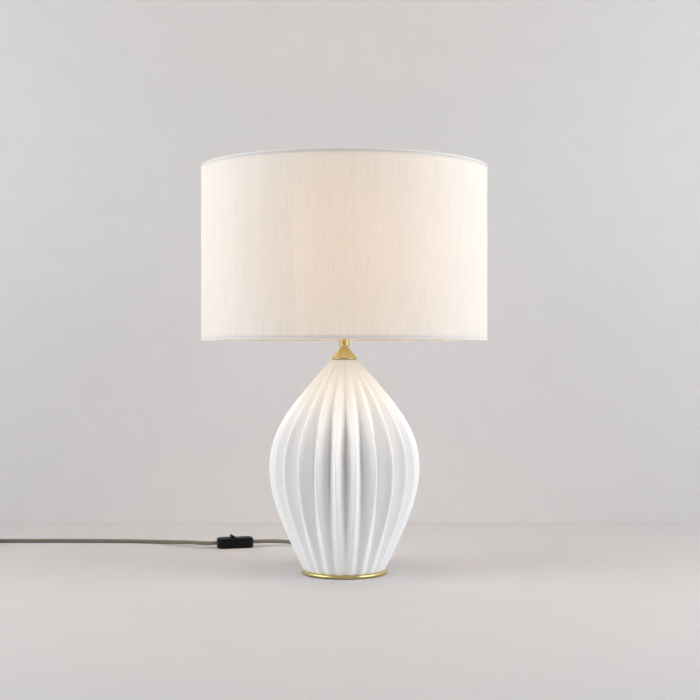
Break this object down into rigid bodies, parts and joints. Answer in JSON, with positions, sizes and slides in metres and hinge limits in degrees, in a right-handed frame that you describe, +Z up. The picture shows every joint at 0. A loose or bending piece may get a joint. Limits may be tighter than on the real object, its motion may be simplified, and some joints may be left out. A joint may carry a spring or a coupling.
{
  "type": "table lamp",
  "caption": "Table lamp with a pleated porcelain body on a brass plate, a linen drum shade on a wire carrier, and a fabric cord with an in-line rocker switch.",
  "frame": {"origin": "centre of the underside of the felt, on the table", "axes": "+Z up along the lamp, -Y towards the front, +X to the right; the cord leaves at the back, +Y"},
  "size_m": [0.8589, 0.5007, 0.5669],
  "materials": {
    "felt": "short wool felt",
    "brass": "satin lacquered brass",
    "porcelain": "white glazed porcelain",
    "black_rubber": "smooth soft plastic",
    "steel": "zinc plated",
    "ceramic": "unglazed white ceramic",
    "contact_brass": "bare brass",
    "linen": "plain woven linen",
    "liner": "matt white liner",
    "white_wire": "white powder coat",
    "trim": "folded cotton tape",
    "opal": "opal white",
    "white_plastic": "fine matt",
    "aluminium": "plain",
    "nickel": "nickel plated",
    "black_plastic": "fine matt",
    "rocker_plastic": "polished",
    "brown_sleeve": "PVC insulation",
    "braid": "woven cotton braid"
  },
  "bodies": {
    "lamp": {"base_felt": "felt", "base_plate": "brass", "body": "porcelain", "cord_bush": "black_rubber", "tie_rod": "steel", "rod_locknut": "steel", "top_washer": "felt", "top_cone": "brass", "neck": "brass", "holder_cap": "brass", "holder_locknut": "steel", "holder_shell": "brass", "holder_insert": "ceramic", "screw_shell": "contact_brass", "centre_contact": "contact_brass", "side_contact": "contact_brass", "terminal_screws": "contact_brass", "lead_wires": "brown_sleeve", "inner_cord": "braid", "cord_lamp_side": "braid", "cord_plug_side": "braid", "cord_coil": "braid", "cord_tail": "braid", "coil_tie": "black_plastic", "switch_lower": "black_plastic", "switch_upper": "black_plastic", "rocker_pin": "steel", "switch_contacts": "contact_brass", "switch_screws": "steel", "plug_sleeve": "black_rubber", "plug_body": "black_plastic", "plug_pins": "nickel"},
    "rocker": {"switch_rocker": "rocker_plastic"},
    "shade": {"shade_linen": "linen", "shade_liner": "liner", "shade_top_wire": "white_wire", "shade_carrier": "white_wire", "shade_top_trim": "trim", "shade_bottom_trim": "trim"},
    "clamp_ring": {"shade_ring": "brass"},
    "bulb": {"bulb_globe": "opal", "bulb_collar": "white_plastic", "bulb_board": "aluminium", "bulb_cap": "nickel", "bulb_insulator": "black_plastic", "bulb_contact": "contact_brass"}
  },
  "joints": [
    {"name": "switch_rock", "type": "hinge", "parent": "lamp", "child": "rocker", "pos_m": [-0.174, 0.243, 0.0128], "axis": [0.2588, -0.9659, 0], "range_deg": [0, 36]},
    {"name": "shade_turn", "type": "hinge", "parent": "lamp", "child": "shade", "pos_m": [0, 0, 0.372], "axis": [0, 0, 1], "continuous": true},
    {"name": "clamp_ring_turn", "type": "hinge", "parent": "lamp", "child": "clamp_ring", "pos_m": [0, 0, 0.376], "axis": [0, 0, 1], "continuous": true},
    {"name": "bulb_turn", "type": "hinge", "parent": "lamp", "child": "bulb", "pos_m": [0, 0, 0.38], "axis": [0, 0, 1], "continuous": true}
  ]
}
